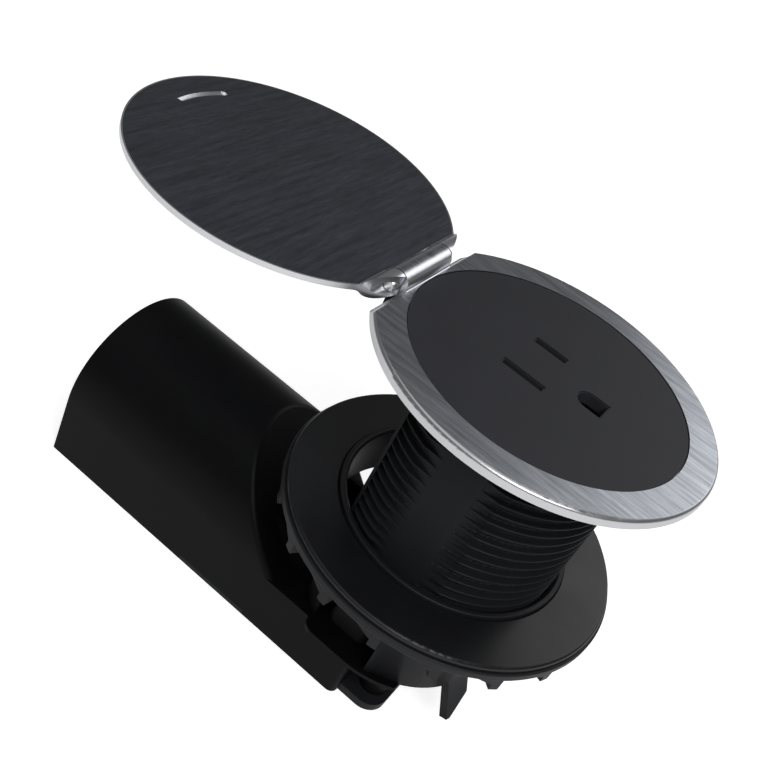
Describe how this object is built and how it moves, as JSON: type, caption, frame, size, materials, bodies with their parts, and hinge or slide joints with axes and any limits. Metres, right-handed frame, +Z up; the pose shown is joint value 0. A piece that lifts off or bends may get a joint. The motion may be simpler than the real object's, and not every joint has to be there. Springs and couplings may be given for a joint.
{
  "type": "countertop outlet",
  "caption": "Round flush socket outlet for a worktop hole, with a hinged metal lid, a threaded tube with a clamp nut, and a wiring box below.",
  "frame": {"origin": "centre of the flange ring's underside, on the tube's axis", "axes": "+Z up out of the worktop, +Y towards the hinge and along the wiring box, -Y towards the ground hole, X along the hinge"},
  "size_m": [0.0728, 0.1334, 0.0875],
  "materials": {
    "ring_metal": "satin metal brushed front to back, with a polished rim",
    "lid_metal": "brushed metal, charcoal inside and silver outside, with a bright bare rim",
    "face_plastic": "matte charcoal moulding",
    "core_plastic": "matte black moulding",
    "tube_plastic": "satin black moulding",
    "nut_plastic": "satin black moulding",
    "washer_plastic": "satin black moulding",
    "box_plastic": "satin black moulding",
    "cover_plastic": "satin black moulding",
    "bushing_plastic": "matte black nylon",
    "seal_rubber": "matte black rubber",
    "contact_brass": "stamped brass",
    "screw_steel": "zinc plated steel",
    "pin_steel": "drawn steel"
  },
  "bodies": {
    "outlet": {"flange_ring": "ring_metal", "flange_gasket": "seal_rubber", "flange_screws": "screw_steel", "hinge_pin": "pin_steel", "socket_face": "face_plastic", "face_screws": "screw_steel", "receptacle_core": "core_plastic", "hot_contact": "contact_brass", "neutral_contact": "contact_brass", "ground_contact": "contact_brass", "terminal_screws": "screw_steel", "ground_screw": "screw_steel", "threaded_tube": "tube_plastic", "core_screws": "screw_steel", "box_housing": "box_plastic", "foot_screws": "screw_steel", "box_cover": "cover_plastic", "cover_screws": "screw_steel", "cable_bushing": "bushing_plastic", "bushing_locknut": "bushing_plastic"},
    "lid": {"lid": "lid_metal"},
    "washer": {"clamp_washer": "washer_plastic"},
    "nut": {"clamp_nut": "nut_plastic"}
  },
  "joints": [
    {"name": "lid_hinge", "type": "hinge", "parent": "outlet", "child": "lid", "pos_m": [0, 0.0315, 0.00265], "axis": [1, 0, 0], "range_deg": [0, 180]},
    {"name": "washer_slide", "type": "slide", "parent": "outlet", "child": "washer", "axis": [0, 0, 1], "range_m": [-0.002, 0.03]},
    {"name": "nut_turn", "type": "hinge", "parent": "washer", "child": "nut", "pos_m": [0, 0, -0.041], "axis": [0, 0, 1], "range_deg": [-310, 4646]}
  ],
  "couplings": [
    {"joint": "nut_turn", "follows": "washer_slide", "rad_per_m": 2702.4}
  ]
}
